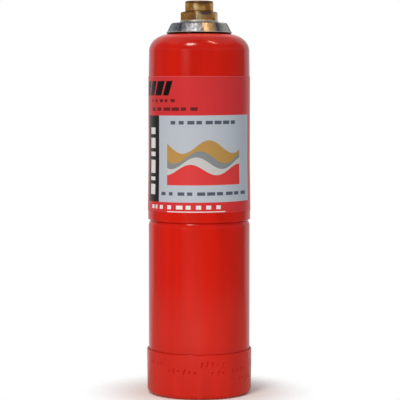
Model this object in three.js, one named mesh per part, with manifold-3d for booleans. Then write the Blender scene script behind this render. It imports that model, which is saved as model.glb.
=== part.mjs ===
// A slim refillable fuel canister: a pressed steel vessel in two brazed halves on a foot ring, with a
// wrapped label, and a brass self-closing valve screwed into a plated collar. Millimetres, +Z up, the
// origin on the floor at the middle of the foot. The label's panel faces -Y.
import * as THREE from "three";
import { mergeVertices } from "three/addons/utils/BufferGeometryUtils.js";
import Module from "manifold-3d";

const wasm = await Module();
wasm.setup();

// Clearances and facets
const FIT_GAP = 0.3; // between a piece and what it sits in or round
const BIG_FACETS = 48; // round the vessel, ring, label and collar
const SMALL_FACETS = 32; // round the valve's pieces
const FINE_FACETS = 24; // round the ball, retainer and spring
const BEND_STEPS = 6; // points along a quarter of a bend
const OVERCUT = 1; // how far a cutter runs past the face that it cuts

// Foot ring: a rolled steel band with its lower edge turned in
const RING_HEIGHT = 31;
const RING_WALL = 1.05;
const RING_FLARE = 0.25; // the band is this much wider at its upper edge than at the floor
const RING_CORNER = 4; // outer radius of the bend at the floor
const RING_TREAD = 1.6; // flat width that stands on the floor
const RING_RIM = 0.4; // rounding of the ring's upper outer edge

// Vessel, lower half
const VESSEL_WALL = 1.5;
const FLOOR_CLEARANCE = 5; // lowest point of the domed bottom above the floor
const BOTTOM_DEPTH = 15; // height of the domed bottom
const LOWER_RADIUS = 35.05;
const LOWER_LENGTH = 116; // domed bottom to the edge of the upper half
const NECKING_HEIGHT = 5; // where the lower half draws in under the upper one
const GROOVE_DEPTH = 0.9;
const GROOVE_WIDTH = 1.2;
const LAP_LENGTH = 9; // how far the lower half reaches up inside the upper one

// Vessel, upper half: it sits over the lower one, and its radii follow from that one's
const UPPER_LENGTH = 127.7; // edge at the lap to the flat of the crown
const LIP_STEP = 0.4; // the belled edge stands this far outside the lower half
const LIP_ROUND = 0.5;
const LIP_TAPER_HEIGHT = 40;
const UPPER_DRAW = 0.18; // the straight side is this much slimmer than the lower half
const CROWN_DRAW = 0.27; // and the crown's edge this much slimmer than the side
const CROWN_TAPER_HEIGHT = 17;
const CROWN_DEPTH = 11.7;
const CROWN_FLAT_RADIUS = 19.5;

// Label
const LABEL_HEIGHT = 92.4;
const LABEL_ABOVE_LAP = 6.3;
const LABEL_THICKNESS = 0.15;
const LABEL_GAP = 0.05; // the adhesive

// Collar: a plated steel boss brazed into the crown
const COLLAR_HEIGHT = 7.6;
const COLLAR_FOOT_RADIUS = 22.7;
const COLLAR_FOOT_BAND = 0.5; // upright edge at the foot
const COLLAR_SLOPE = 27; // degrees that the side leans in
const COLLAR_EDGE = 2.2; // rounding of the upper edge
const COLLAR_SPIGOT_RADIUS = 15;
const COLLAR_SPIGOT_LENGTH = 8;

// Sealing washer
const WASHER_RADIUS = 13.3;
const WASHER_THICKNESS = 1.7;

// Valve body: brass, with a hexagon, a plain spigot above it and a shank down into the collar
const HEX_ACROSS_FLATS = 24;
const HEX_HEIGHT = 5.8;
const HEX_TURN = -8; // degrees that one corner is turned from the front
const HEX_CORNER_RADIUS = 13.6; // the corners are turned off to this
const HEX_CHAMFER = 0.9;
const SPIGOT_RADIUS = 9.7;
const SPIGOT_HEIGHT = 7.5;
const SPIGOT_CHAMFER = 0.8;
const SHANK_RADIUS = 10;
const SHANK_LENGTH = 20;
const SHANK_CHAMFER = 1;
const SOCKET_RADIUS = 6.2; // tapped for the burner's stem
const SOCKET_DEPTH = 11.3;
const SOCKET_MOUTH = 0.9; // countersink
const THROAT_RADIUS = 1.7;
const THROAT_LENGTH = 3;

// What the valve holds
const SEAL_THICKNESS = 2;
const SEAL_BORE = 2.6;
const BALL_RADIUS = 3;
const BALL_SIDE_CLEARANCE = 1;
const RETAINER_THICKNESS = 3;
const RETAINER_RECESS = 1; // above the shank's end
const RETAINER_BORE = 1.5;
const RETAINER_SLOT = 1;
const RETAINER_SLOT_DEPTH = 1;
const SPRING_RADIUS = 2.4; // middle of the wire
const SPRING_WIRE = 0.3; // radius of the wire
const SPRING_COILS = 5;
const SPRING_STEPS = 14; // steps in a coil
const SPRING_SIDES = 6;

// Heights above the floor that follow from the sizes above
const VESSEL_LOW = FLOOR_CLEARANCE;
const BOTTOM_TANGENT = VESSEL_LOW + BOTTOM_DEPTH;
const LAP_EDGE = VESSEL_LOW + LOWER_LENGTH;
const GROOVE_FLOOR = LAP_EDGE - GROOVE_WIDTH;
const NECKING_START = GROOVE_FLOOR - NECKING_HEIGHT;
const CROWN_TOP = LAP_EDGE + UPPER_LENGTH;
const CROWN_TANGENT = CROWN_TOP - CROWN_DEPTH;
const COLLAR_TOP = CROWN_TOP + COLLAR_HEIGHT;
const HEX_LOW = COLLAR_TOP + WASHER_THICKNESS;
const HEX_TOP = HEX_LOW + HEX_HEIGHT;
const VALVE_TOP = HEX_TOP + SPIGOT_HEIGHT;
const SHANK_LOW = HEX_LOW - SHANK_LENGTH;
const SOCKET_FLOOR = VALVE_TOP - SOCKET_DEPTH;
const THROAT_LOW = SOCKET_FLOOR - THROAT_LENGTH;
const RETAINER_TOP = SHANK_LOW + RETAINER_RECESS + RETAINER_THICKNESS;

// Radii that follow from another piece's
const UPPER_RADIUS = LOWER_RADIUS - UPPER_DRAW;
const LIP_RADIUS = LOWER_RADIUS + LIP_STEP;
const CROWN_RADIUS = UPPER_RADIUS - CROWN_DRAW;
const COLLAR_BORE = SHANK_RADIUS + FIT_GAP;
const NECK_BORE = COLLAR_SPIGOT_RADIUS + FIT_GAP;
const CHAMBER_RADIUS = BALL_RADIUS + BALL_SIDE_CLEARANCE;

// The seat is a cone of 45 degrees, and the ball rests a fit gap below it
const BALL_CENTRE = THROAT_LOW + THROAT_RADIUS - Math.SQRT2 * (BALL_RADIUS + FIT_GAP);

const radians = THREE.MathUtils.degToRad;
const at = (radius, height) => new THREE.Vector2(radius, height);

// Points of an elliptical arc in the turning plane, both ends included. 0 degrees points outwards.
function bend(centreRadius, centreHeight, across, up, fromDegrees, toDegrees) {
  const steps = Math.max(2, Math.ceil((BEND_STEPS * Math.abs(toDegrees - fromDegrees)) / 90));
  return Array.from({ length: steps + 1 }, (_, i) => {
    const angle = radians(fromDegrees + ((toDegrees - fromDegrees) * i) / steps);
    return at(
      Math.max(0, centreRadius + across * Math.cos(angle)),
      centreHeight + up * Math.sin(angle),
    );
  });
}

// A piece turned about the upright axis. The profile runs up the outside and down the inside.
function turned(profile, facets) {
  return new THREE.LatheGeometry(profile, facets).rotateX(Math.PI / 2);
}

function closed(profile) {
  return [...profile, profile[0].clone()];
}

// A geometry as a solid that can be joined and cut
function solid(geometry) {
  const bare = geometry.clone();
  bare.deleteAttribute("normal");
  bare.deleteAttribute("uv");
  const merged = mergeVertices(bare, 1e-4);
  return new wasm.Manifold(
    new wasm.Mesh({
      numProp: 3,
      vertProperties: merged.attributes.position.array,
      triVerts: new Uint32Array(merged.index.array),
    }),
  );
}

function geometryOf(made) {
  const mesh = made.getMesh();
  const geometry = new THREE.BufferGeometry();
  geometry.setAttribute("position", new THREE.BufferAttribute(mesh.vertProperties, 3));
  geometry.setIndex(new THREE.BufferAttribute(mesh.triVerts, 1));
  geometry.computeVertexNormals();
  return geometry;
}

// Outer radius of the upper half at a height: belled at the lap, straight, then drawn in to the crown
function upperRadiusAt(height) {
  if (height > CROWN_TANGENT) {
    const rise = Math.min(1, (height - CROWN_TANGENT) / CROWN_DEPTH);
    return CROWN_FLAT_RADIUS + (CROWN_RADIUS - CROWN_FLAT_RADIUS) * Math.sqrt(1 - rise * rise);
  }
  const bell = Math.max(0, 1 - (height - LAP_EDGE) / LIP_TAPER_HEIGHT);
  const drawn = Math.max(0, 1 - (CROWN_TANGENT - height) / CROWN_TAPER_HEIGHT);
  return (
    UPPER_RADIUS + (LIP_RADIUS - UPPER_RADIUS) * bell + (CROWN_RADIUS - UPPER_RADIUS) * drawn
  );
}

// Heights between two others where the side of the upper half changes its slope
function slopeChanges(low, high) {
  const changes = [LAP_EDGE + LIP_TAPER_HEIGHT, CROWN_TANGENT - CROWN_TAPER_HEIGHT, CROWN_TANGENT];
  return changes.filter((height) => height > low && height < high).sort((a, b) => a - b);
}

function footRing() {
  const inner = LOWER_RADIUS + FIT_GAP;
  const outer = inner + RING_WALL;
  const bendCentre = outer - RING_FLARE - RING_CORNER;
  const innerBend = RING_CORNER - RING_WALL;
  return turned(
    closed([
      at(bendCentre - RING_TREAD, 0),
      ...bend(bendCentre, RING_CORNER, RING_CORNER, RING_CORNER, -90, 0),
      ...bend(outer - RING_RIM, RING_HEIGHT - RING_RIM, RING_RIM, RING_RIM, 0, 90),
      at(inner, RING_HEIGHT),
      ...bend(bendCentre, RING_CORNER, innerBend, innerBend, 0, -90),
      at(bendCentre - RING_TREAD, RING_WALL),
    ]),
    BIG_FACETS,
  );
}

function vessel() {
  const grooveRadius = LOWER_RADIUS - GROOVE_DEPTH;
  const lowerInside = LOWER_RADIUS - VESSEL_WALL;
  const lapInside = grooveRadius - VESSEL_WALL;
  const upperInside = UPPER_RADIUS - VESSEL_WALL;
  const crownInside = CROWN_RADIUS - VESSEL_WALL;
  const lapTop = LAP_EDGE + LAP_LENGTH;
  const outside = [
    ...bend(0, BOTTOM_TANGENT, LOWER_RADIUS, BOTTOM_DEPTH, -90, 0),
    ...bend(LOWER_RADIUS - GROOVE_DEPTH, NECKING_START, GROOVE_DEPTH, NECKING_HEIGHT, 0, 90),
    at(grooveRadius, LAP_EDGE),
    ...bend(LIP_RADIUS - LIP_ROUND, LAP_EDGE + LIP_ROUND, LIP_ROUND, LIP_ROUND, -90, 0),
    ...slopeChanges(LAP_EDGE, CROWN_TANGENT).map((height) => at(upperRadiusAt(height), height)),
    ...bend(
      CROWN_FLAT_RADIUS,
      CROWN_TANGENT,
      CROWN_RADIUS - CROWN_FLAT_RADIUS,
      CROWN_DEPTH,
      0,
      90,
    ),
    at(NECK_BORE, CROWN_TOP),
  ];
  const inside = [
    at(NECK_BORE, CROWN_TOP - VESSEL_WALL),
    ...bend(
      CROWN_FLAT_RADIUS,
      CROWN_TANGENT,
      crownInside - CROWN_FLAT_RADIUS,
      CROWN_DEPTH - VESSEL_WALL,
      90,
      0,
    ),
    at(upperInside, CROWN_TANGENT - CROWN_TAPER_HEIGHT),
    at(upperInside, lapTop),
    at(lapInside, lapTop),
    at(lapInside, GROOVE_FLOOR),
    at(lowerInside, NECKING_START),
    ...bend(0, BOTTOM_TANGENT, lowerInside, BOTTOM_DEPTH - VESSEL_WALL, 0, -90),
  ];
  return turned([...outside, ...inside], BIG_FACETS);
}

function label() {
  const low = LAP_EDGE + LABEL_ABOVE_LAP;
  const high = low + LABEL_HEIGHT;
  const heights = [low, ...slopeChanges(low, high), high];
  const skin = (offset) => heights.map((height) => at(upperRadiusAt(height) + offset, height));
  const outside = skin(LABEL_GAP + LABEL_THICKNESS);
  const inside = skin(LABEL_GAP).reverse();
  return turned(closed([...outside, ...inside]), BIG_FACETS);
}

function neckCollar() {
  const slope = radians(COLLAR_SLOPE);
  const bandTop = CROWN_TOP + COLLAR_FOOT_BAND;
  const edgeHeight = COLLAR_TOP - COLLAR_EDGE;
  const leanedIn = (edgeHeight - bandTop) * Math.tan(slope);
  const edgeRadius = COLLAR_FOOT_RADIUS - leanedIn - COLLAR_EDGE / Math.cos(slope);
  const spigotLow = CROWN_TOP - COLLAR_SPIGOT_LENGTH;
  return turned(
    closed([
      at(COLLAR_BORE, spigotLow),
      at(COLLAR_SPIGOT_RADIUS, spigotLow),
      at(COLLAR_SPIGOT_RADIUS, CROWN_TOP),
      at(COLLAR_FOOT_RADIUS, CROWN_TOP),
      at(COLLAR_FOOT_RADIUS, bandTop),
      ...bend(edgeRadius, edgeHeight, COLLAR_EDGE, COLLAR_EDGE, COLLAR_SLOPE, 90),
      at(COLLAR_BORE, COLLAR_TOP),
    ]),
    BIG_FACETS,
  );
}

function sealingWasher() {
  return turned(
    closed([
      at(COLLAR_BORE, COLLAR_TOP),
      at(WASHER_RADIUS, COLLAR_TOP),
      at(WASHER_RADIUS, HEX_LOW),
      at(COLLAR_BORE, HEX_LOW),
    ]),
    BIG_FACETS,
  );
}

function hexagon() {
  const cornerRadius = HEX_ACROSS_FLATS / 2 / Math.cos(radians(30));
  const outline = new THREE.Shape(
    Array.from({ length: 6 }, (_, i) => {
      const angle = radians(-90 + HEX_TURN + 60 * i);
      return at(cornerRadius * Math.cos(angle), cornerRadius * Math.sin(angle));
    }),
  );
  const blank = new THREE.ExtrudeGeometry(outline, { depth: HEX_HEIGHT, bevelEnabled: false });
  const chamferedRound = turned(
    [
      at(0, HEX_LOW),
      at(HEX_CORNER_RADIUS - HEX_CHAMFER, HEX_LOW),
      at(HEX_CORNER_RADIUS, HEX_LOW + HEX_CHAMFER / 2),
      at(HEX_CORNER_RADIUS, HEX_TOP - HEX_CHAMFER),
      at(HEX_CORNER_RADIUS - 2 * HEX_CHAMFER, HEX_TOP),
      at(0, HEX_TOP),
    ],
    BIG_FACETS,
  );
  return solid(blank.translate(0, 0, HEX_LOW)).intersect(solid(chamferedRound));
}

function valveBody() {
  const bar = turned(
    [
      at(0, SHANK_LOW),
      at(SHANK_RADIUS - SHANK_CHAMFER, SHANK_LOW),
      at(SHANK_RADIUS, SHANK_LOW + SHANK_CHAMFER),
      at(SHANK_RADIUS, HEX_LOW + HEX_HEIGHT / 2),
      at(SPIGOT_RADIUS, HEX_LOW + HEX_HEIGHT / 2),
      at(SPIGOT_RADIUS, VALVE_TOP - SPIGOT_CHAMFER),
      at(SPIGOT_RADIUS - SPIGOT_CHAMFER, VALVE_TOP),
      at(0, VALVE_TOP),
    ],
    SMALL_FACETS,
  );
  const seatDepth = CHAMBER_RADIUS - THROAT_RADIUS;
  const bores = turned(
    [
      at(0, SHANK_LOW - OVERCUT),
      at(CHAMBER_RADIUS, SHANK_LOW - OVERCUT),
      at(CHAMBER_RADIUS, THROAT_LOW - seatDepth),
      at(THROAT_RADIUS, THROAT_LOW),
      at(THROAT_RADIUS, SOCKET_FLOOR),
      at(SOCKET_RADIUS, SOCKET_FLOOR),
      at(SOCKET_RADIUS, VALVE_TOP - SOCKET_MOUTH),
      at(SOCKET_RADIUS + SOCKET_MOUTH, VALVE_TOP),
      at(SOCKET_RADIUS + SOCKET_MOUTH, VALVE_TOP + OVERCUT),
      at(0, VALVE_TOP + OVERCUT),
    ],
    SMALL_FACETS,
  );
  return geometryOf(hexagon().add(solid(bar)).subtract(solid(bores)));
}

function stemSeal() {
  const outer = SOCKET_RADIUS - FIT_GAP;
  const top = SOCKET_FLOOR + SEAL_THICKNESS;
  return turned(
    closed([
      at(SEAL_BORE, SOCKET_FLOOR),
      at(outer, SOCKET_FLOOR),
      at(outer, top),
      at(SEAL_BORE, top),
    ]),
    SMALL_FACETS,
  );
}

function checkBall() {
  return turned(bend(0, BALL_CENTRE, BALL_RADIUS, BALL_RADIUS, -90, 90), FINE_FACETS);
}

function springRetainer() {
  const outer = CHAMBER_RADIUS - FIT_GAP;
  const low = RETAINER_TOP - RETAINER_THICKNESS;
  const ring = turned(
    closed([
      at(RETAINER_BORE, low),
      at(outer, low),
      at(outer, RETAINER_TOP),
      at(RETAINER_BORE, RETAINER_TOP),
    ]),
    FINE_FACETS,
  );
  const slotHeight = RETAINER_SLOT_DEPTH + OVERCUT;
  const slot = new THREE.BoxGeometry(2 * (outer + OVERCUT), RETAINER_SLOT, slotHeight).translate(
    0,
    0,
    low + RETAINER_SLOT_DEPTH - slotHeight / 2,
  );
  return geometryOf(solid(ring).subtract(solid(slot)));
}

// The ball rests on the top coil, and the bottom coil stands on the retainer
function checkSpring() {
  const reach = BALL_RADIUS + FIT_GAP + SPRING_WIRE;
  const top = BALL_CENTRE - Math.sqrt(reach * reach - SPRING_RADIUS * SPRING_RADIUS);
  const low = RETAINER_TOP + FIT_GAP + SPRING_WIRE;
  class Coil extends THREE.Curve {
    getPoint(t, target = new THREE.Vector3()) {
      const angle = 2 * Math.PI * SPRING_COILS * t;
      return target.set(
        SPRING_RADIUS * Math.cos(angle),
        SPRING_RADIUS * Math.sin(angle),
        low + (top - low) * t,
      );
    }
  }
  const section = new THREE.Shape(
    Array.from({ length: SPRING_SIDES }, (_, i) => {
      const angle = (2 * Math.PI * i) / SPRING_SIDES;
      return at(SPRING_WIRE * Math.cos(angle), SPRING_WIRE * Math.sin(angle));
    }),
  );
  return new THREE.ExtrudeGeometry(section, {
    steps: SPRING_COILS * SPRING_STEPS,
    extrudePath: new Coil(),
    bevelEnabled: false,
  });
}

const paint = { color: 0xc3281c, roughness: 0.28, metalness: 0 };
const printedFilm = { color: 0xb8302c, roughness: 0.4, metalness: 0 };
const platedSteel = { color: 0xa9a6a0, roughness: 0.35, metalness: 1 };
const brass = { color: 0xb08d4a, roughness: 0.35, metalness: 1 };
const rubber = { color: 0x1c1c1c, roughness: 0.8, metalness: 0 };
const springSteel = { color: 0xb9bcc0, roughness: 0.25, metalness: 1 };

function piece(name, geometry, finish) {
  const mesh = new THREE.Mesh(geometry, new THREE.MeshStandardMaterial(finish));
  mesh.name = name;
  return mesh;
}

const canister = new THREE.Group();
canister.add(
  piece("foot_ring", footRing(), paint),
  piece("vessel", vessel(), paint),
  piece("label", label(), printedFilm),
  piece("neck_collar", neckCollar(), platedSteel),
  piece("sealing_washer", sealingWasher(), platedSteel),
  piece("valve_body", valveBody(), brass),
  piece("stem_seal", stemSeal(), rubber),
  piece("check_ball", checkBall(), springSteel),
  piece("check_spring", checkSpring(), springSteel),
  piece("spring_retainer", springRetainer(), brass),
);

export default canister;
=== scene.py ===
"""A slim red fuel canister, dressed for rendering: enamelled steel, a printed wrap, a plated collar and a
brass valve. Metres, +Z up, the label's pale panel towards -Y."""
import math

import bmesh
import bpy
from bpy.props import FloatProperty, FloatVectorProperty, IntProperty, PointerProperty
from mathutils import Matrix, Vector


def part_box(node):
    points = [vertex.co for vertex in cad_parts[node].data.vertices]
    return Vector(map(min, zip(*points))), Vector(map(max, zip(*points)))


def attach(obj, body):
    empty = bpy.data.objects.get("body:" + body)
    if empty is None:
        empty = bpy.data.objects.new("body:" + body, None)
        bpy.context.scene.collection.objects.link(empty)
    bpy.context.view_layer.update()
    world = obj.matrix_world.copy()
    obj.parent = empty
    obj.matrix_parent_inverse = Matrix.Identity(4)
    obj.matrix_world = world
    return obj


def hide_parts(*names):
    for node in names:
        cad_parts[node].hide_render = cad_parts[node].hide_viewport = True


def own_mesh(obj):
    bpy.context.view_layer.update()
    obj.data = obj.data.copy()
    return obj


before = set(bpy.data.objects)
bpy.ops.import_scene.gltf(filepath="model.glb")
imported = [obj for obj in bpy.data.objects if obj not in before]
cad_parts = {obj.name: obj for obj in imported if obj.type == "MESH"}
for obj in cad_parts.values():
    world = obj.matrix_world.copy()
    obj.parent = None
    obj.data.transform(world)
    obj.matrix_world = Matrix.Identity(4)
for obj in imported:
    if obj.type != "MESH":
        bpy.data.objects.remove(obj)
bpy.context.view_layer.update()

bl_info = {
    "name": "Fuel canister",
    "version": (1, 0, 0),
    "blender": (4, 5, 0),
    "location": "View3D > Sidebar > Canister",
    "description": "Builds the finished surfaces of a refillable fuel canister round its frame",
    "category": "Object",
}

MM = 0.001

# Outer sizes and heights, taken from the frame's own nodes
RING_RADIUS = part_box("foot_ring")[1].x
RING_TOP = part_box("foot_ring")[1].z
VESSEL_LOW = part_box("vessel")[0].z
LIP_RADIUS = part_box("vessel")[1].x
CROWN_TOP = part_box("vessel")[1].z
LABEL_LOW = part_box("label")[0].z
LABEL_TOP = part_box("label")[1].z
COLLAR_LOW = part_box("neck_collar")[0].z
COLLAR_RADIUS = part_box("neck_collar")[1].x
COLLAR_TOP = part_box("neck_collar")[1].z
WASHER_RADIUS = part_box("sealing_washer")[1].x
WASHER_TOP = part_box("sealing_washer")[1].z
VALVE_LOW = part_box("valve_body")[0].z
VALVE_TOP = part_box("valve_body")[1].z
SEAL_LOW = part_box("stem_seal")[0].z
SEAL_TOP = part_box("stem_seal")[1].z
SEAL_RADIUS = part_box("stem_seal")[1].x
BALL_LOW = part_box("check_ball")[0].z
BALL_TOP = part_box("check_ball")[1].z
SPRING_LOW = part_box("check_spring")[0].z
SPRING_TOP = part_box("check_spring")[1].z

# Sections that the boxes don't give. They are the part's, apart from the groove with its necking and the
# collar's undercut and band, which are made for the look.
FIT_GAP = 0.3 * MM
LOWER_RADIUS = LIP_RADIUS - 0.4 * MM
UPPER_RADIUS = LOWER_RADIUS - 0.18 * MM
CROWN_RADIUS = UPPER_RADIUS - 0.27 * MM
VESSEL_WALL = 1.5 * MM
BOTTOM_TANGENT = VESSEL_LOW + 15 * MM
LAP_EDGE = VESSEL_LOW + 116 * MM
LAP_TOP = LAP_EDGE + 9 * MM
GROOVE_FLOOR = LAP_EDGE - 0.55 * MM
GROOVE_RADIUS = LOWER_RADIUS - 1.4 * MM
NECKING_CURVE = 6.8 * MM
NECKING_TILT = math.acos(1 - (LOWER_RADIUS - GROOVE_RADIUS) / NECKING_CURVE)
NECKING_START = GROOVE_FLOOR - NECKING_CURVE * math.sin(NECKING_TILT)
BELL_TOP = LAP_EDGE + 40 * MM
CROWN_DEPTH = 11.7 * MM
CROWN_TANGENT = CROWN_TOP - CROWN_DEPTH
CROWN_TAPER = CROWN_TANGENT - 17 * MM
CROWN_FLAT_RADIUS = 19.5 * MM
NECK_BORE = 15.3 * MM
RING_WALL = 1.05 * MM
RING_FLARE = 0.25 * MM
RING_CORNER = 4 * MM
RING_TREAD = 1.6 * MM
COLLAR_BORE = 10.3 * MM
COLLAR_SPIGOT_RADIUS = 15 * MM
COLLAR_EDGE = 2.2 * MM
COLLAR_SKIRT = CROWN_TOP + 0.8 * MM  # over the undercut
COLLAR_UNDERCUT_RADIUS = COLLAR_RADIUS - 0.5 * MM
COLLAR_BAND_TOP = COLLAR_SKIRT + 0.75 * MM
COLLAR_SLOPE = math.radians(27)
COLLAR_SLOPE_LOW = CROWN_TOP + 0.5 * MM
HEX_ACROSS_FLATS = 24 * MM
HEX_HEIGHT = 5.8 * MM
HEX_TOP = WASHER_TOP + HEX_HEIGHT
HEX_CORNER_RADIUS = 13.6 * MM
HEX_CHAMFER = 0.9 * MM
HEX_TURN = -8  # degrees between a corner and the front
SPIGOT_RADIUS = 9.7 * MM
SHANK_RADIUS = 10 * MM
SOCKET_RADIUS = 6.2 * MM
SOCKET_MOUTH = 0.9 * MM
THROAT_RADIUS = 1.7 * MM
THROAT_LOW = SEAL_LOW - 3 * MM
CHAMBER_RADIUS = 4 * MM
SEAL_BORE = 2.6 * MM
LABEL_GAP = 0.05 * MM
LABEL_THICKNESS = 0.15 * MM
SPRING_RADIUS = 2.4 * MM
SPRING_WIRE = 0.3 * MM
SPRING_COILS = 5.0

# A painted reflection makes the paint paler between these two heights, and it stays so up to the collar
CROWN_REFLECTION_LOW = CROWN_TOP - 3.3 * MM
CROWN_REFLECTION_FULL = CROWN_TOP - 1.6 * MM


def colour_setting(name, default, description):
    return FloatVectorProperty(
        name=name, description=description, subtype="COLOR", size=3, min=0, max=1, default=default)


def length_setting(name, default, low, high, description):
    return FloatProperty(
        name=name, description=description, subtype="DISTANCE", min=low, max=high, default=default)


def radiance_setting(name, default, description):
    return FloatProperty(name=name, description=description, min=0, max=100, default=default)


class PaintSettings(bpy.types.PropertyGroup):
    """The red enamel on the vessel and the foot ring"""
    colour: colour_setting("Colour", (0.63, 0.0095, 0.0016), "Colour of the enamel")
    peel: length_setting("Orange peel", 0.000012, 0, 0.001, "Height of the enamel's fine ripple")
    scuffs: FloatProperty(
        name="Scuffs", description="Share of the edges that handling has dulled",
        subtype="FACTOR", min=0, max=1, default=0.35)


class LabelSettings(bpy.types.PropertyGroup):
    """The printed wrap"""
    band: colour_setting("Band", (0.62, 0.030, 0.034), "Red of the upper and lower bands")
    panel: colour_setting("Panel", (0.46, 0.52, 0.59), "Pale grey of the panel")
    strip: colour_setting("Strip", (0.012, 0.013, 0.014), "Black of the upright strip")
    tilt: FloatProperty(
        name="Tilt", description="How far the print is turned on the vessel",
        subtype="ANGLE", min=-0.1, max=0.1, default=math.radians(0.45))
    overlap: length_setting("Overlap", 0.008, 0.002, 0.03, "How far the wrap's ends overlap at the back")


class MarkSettings(bpy.types.PropertyGroup):
    """The punch marks round the foot ring"""
    depth: length_setting("Depth", 0.0007, 0, 0.001, "How deep the marks are struck")
    stroke: length_setting("Stroke", 0.0005, 0.0001, 0.002, "Half the width of a mark's stroke")
    facets: IntProperty(
        name="Facets", description="Facets round the foot ring", min=96, max=900, default=720)


class MetalSettings(bpy.types.PropertyGroup):
    """The collar, washer and valve"""
    plating: colour_setting("Plating", (0.43, 0.47, 0.53), "Colour of the plated collar")
    passivation: colour_setting("Passivation", (0.95, 0.82, 0.47), "Yellow stain in the plating")
    brass: colour_setting("Brass", (0.93, 0.55, 0.15), "Clean brass")
    tarnish: colour_setting("Tarnish", (0.50, 0.20, 0.03), "Tarnished brass")
    thread_pitch: length_setting("Thread pitch", 0.0015, 0.0005, 0.003, "Pitch of the socket's thread")


class StageSettings(bpy.types.PropertyGroup):
    """Light, floor and camera"""
    key_radiance: radiance_setting("Key light", 18, "Brightness of the soft box at the upper left")
    strip_radiance: radiance_setting("Strip light", 60, "Brightness of the narrow light at the upper right")
    fill_radiance: radiance_setting("Fill light", 2.5, "Brightness of the low light at the front left")
    ambient: FloatProperty(
        name="Ambient", description="Level of the even light from all round", min=0, max=2, default=0.5)
    floor_radius: length_setting("Floor radius", 0.62, 0.2, 3, "Radius of the pale floor")


class CanisterSettings(bpy.types.PropertyGroup):
    """All the sizes and colours that a user would change"""
    paint: PointerProperty(type=PaintSettings, name="Paint", description="Red enamel")
    label: PointerProperty(type=LabelSettings, name="Label", description="Printed wrap")
    marks: PointerProperty(type=MarkSettings, name="Marks", description="Punch marks on the ring")
    metal: PointerProperty(type=MetalSettings, name="Metal", description="Collar, washer and valve")
    stage: PointerProperty(type=StageSettings, name="Stage", description="Light, floor and camera")


# Node trees

class Value:
    """What an output socket gives. Arithmetic on it adds Math nodes to its shader or geometry tree."""

    def __init__(self, tree, socket):
        self.tree = tree
        self.socket = socket

    def __add__(self, other):
        return calc("ADD", self, other)

    def __sub__(self, other):
        return calc("SUBTRACT", self, other)

    def __rsub__(self, other):
        return calc("SUBTRACT", other, self)

    def __mul__(self, other):
        return calc("MULTIPLY", self, other)

    def __truediv__(self, other):
        return calc("DIVIDE", self, other)

    def __pow__(self, other):
        return calc("POWER", self, other)

    def __neg__(self):
        return calc("MULTIPLY", self, -1.0)

    def __abs__(self):
        return calc("ABSOLUTE", self)


class Outputs:
    """A node's outputs as Values, by name or number"""

    def __init__(self, tree, node):
        self.tree = tree
        self.node = node

    def __getitem__(self, key):
        return Value(self.tree, self.node.outputs[key])


def add(tree, kind, inputs=None, **settings):
    """Adds a node. inputs gives each socket, by name or number, a plain value or a Value."""
    made = tree.nodes.new(kind)
    for name, value in settings.items():
        setattr(made, name, value)
    for key, value in (inputs or {}).items():
        if isinstance(value, Value):
            tree.links.new(value.socket, made.inputs[key])
        else:
            made.inputs[key].default_value = value
    return Outputs(tree, made)


def calc(operation, *values, clamp=False):
    """A Math node's result, in the tree of the Values among its inputs."""
    tree = next(value.tree for value in values if isinstance(value, Value))
    return add(tree, "ShaderNodeMath", dict(enumerate(values)), operation=operation, use_clamp=clamp)[0]


def ramp(value, low, high, out_low=0.0, out_high=1.0, smooth=True):
    """Maps value from low..high to out_low..out_high, and holds it there outside."""
    made = add(value.tree, "ShaderNodeMapRange", {0: value, 1: low, 2: high, 3: out_low, 4: out_high},
               interpolation_type="SMOOTHSTEP" if smooth else "LINEAR")
    return made[0]


def blend(share, first, second):
    """The number first where share is 0, second where it is 1."""
    return add(share.tree, "ShaderNodeMix", {0: share, 2: first, 3: second})[0]


def mixed(share, first, second):
    """The colour first where share is 0, second where it is 1. Either may be three plain numbers."""
    first, second = (c if isinstance(c, Value) else (*c, 1.0) for c in (first, second))
    return add(share.tree, "ShaderNodeMix", {0: share, 6: first, 7: second}, data_type="RGBA")[2]


def layered(colour, layers):
    """Lays inks over a colour in turn, each where its mask is 1."""
    for mask, ink in layers:
        colour = mixed(mask, colour, ink)
    return colour


def split(vector):
    """A vector's three numbers."""
    made = add(vector.tree, "ShaderNodeSeparateXYZ", {0: vector})
    return [made[i] for i in range(3)]


def joined(tree, x, y, z=0.0):
    return add(tree, "ShaderNodeCombineXYZ", {0: x, 1: y, 2: z})[0]


def length_of(vector):
    return add(vector.tree, "ShaderNodeVectorMath", {0: vector}, operation="LENGTH")["Value"]


def object_place(tree):
    """A point's Object coordinates."""
    return add(tree, "ShaderNodeTexCoord")["Object"]


def noise(vector, scale, detail=3.0, roughness=0.5):
    return add(vector.tree, "ShaderNodeTexNoise", {
        "Vector": vector, "Scale": scale, "Detail": detail, "Roughness": roughness})[0]


def stretched(vector, upright):
    """A vector for a pattern that is drawn out upwards, the more the smaller upright is."""
    return add(vector.tree, "ShaderNodeMapping", {"Vector": vector, "Scale": (1.0, 1.0, upright)})[0]


def new_group(name, inputs, outputs=None):
    """A group with named inputs, each given by its default, or by its kind of socket where it has none.
    With a list of outputs it is a shader group, otherwise a geometry tree. Returns it and its inputs."""
    tree = bpy.data.node_groups.new(name, "ShaderNodeTree" if outputs else "GeometryNodeTree")
    for socket, default in inputs.items():
        plain = not isinstance(default, str)
        kind = {int: "Int", float: "Float"}[type(default)] if plain else default
        made = tree.interface.new_socket(socket, in_out="INPUT", socket_type="NodeSocket" + kind)
        if plain:
            made.default_value = default
    for socket in outputs or ["Geometry"]:
        kind = "NodeSocketFloat" if outputs else "NodeSocketGeometry"
        tree.interface.new_socket(socket, in_out="OUTPUT", socket_type=kind)
    return tree, Outputs(tree, tree.nodes.new("NodeGroupInput"))


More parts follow.
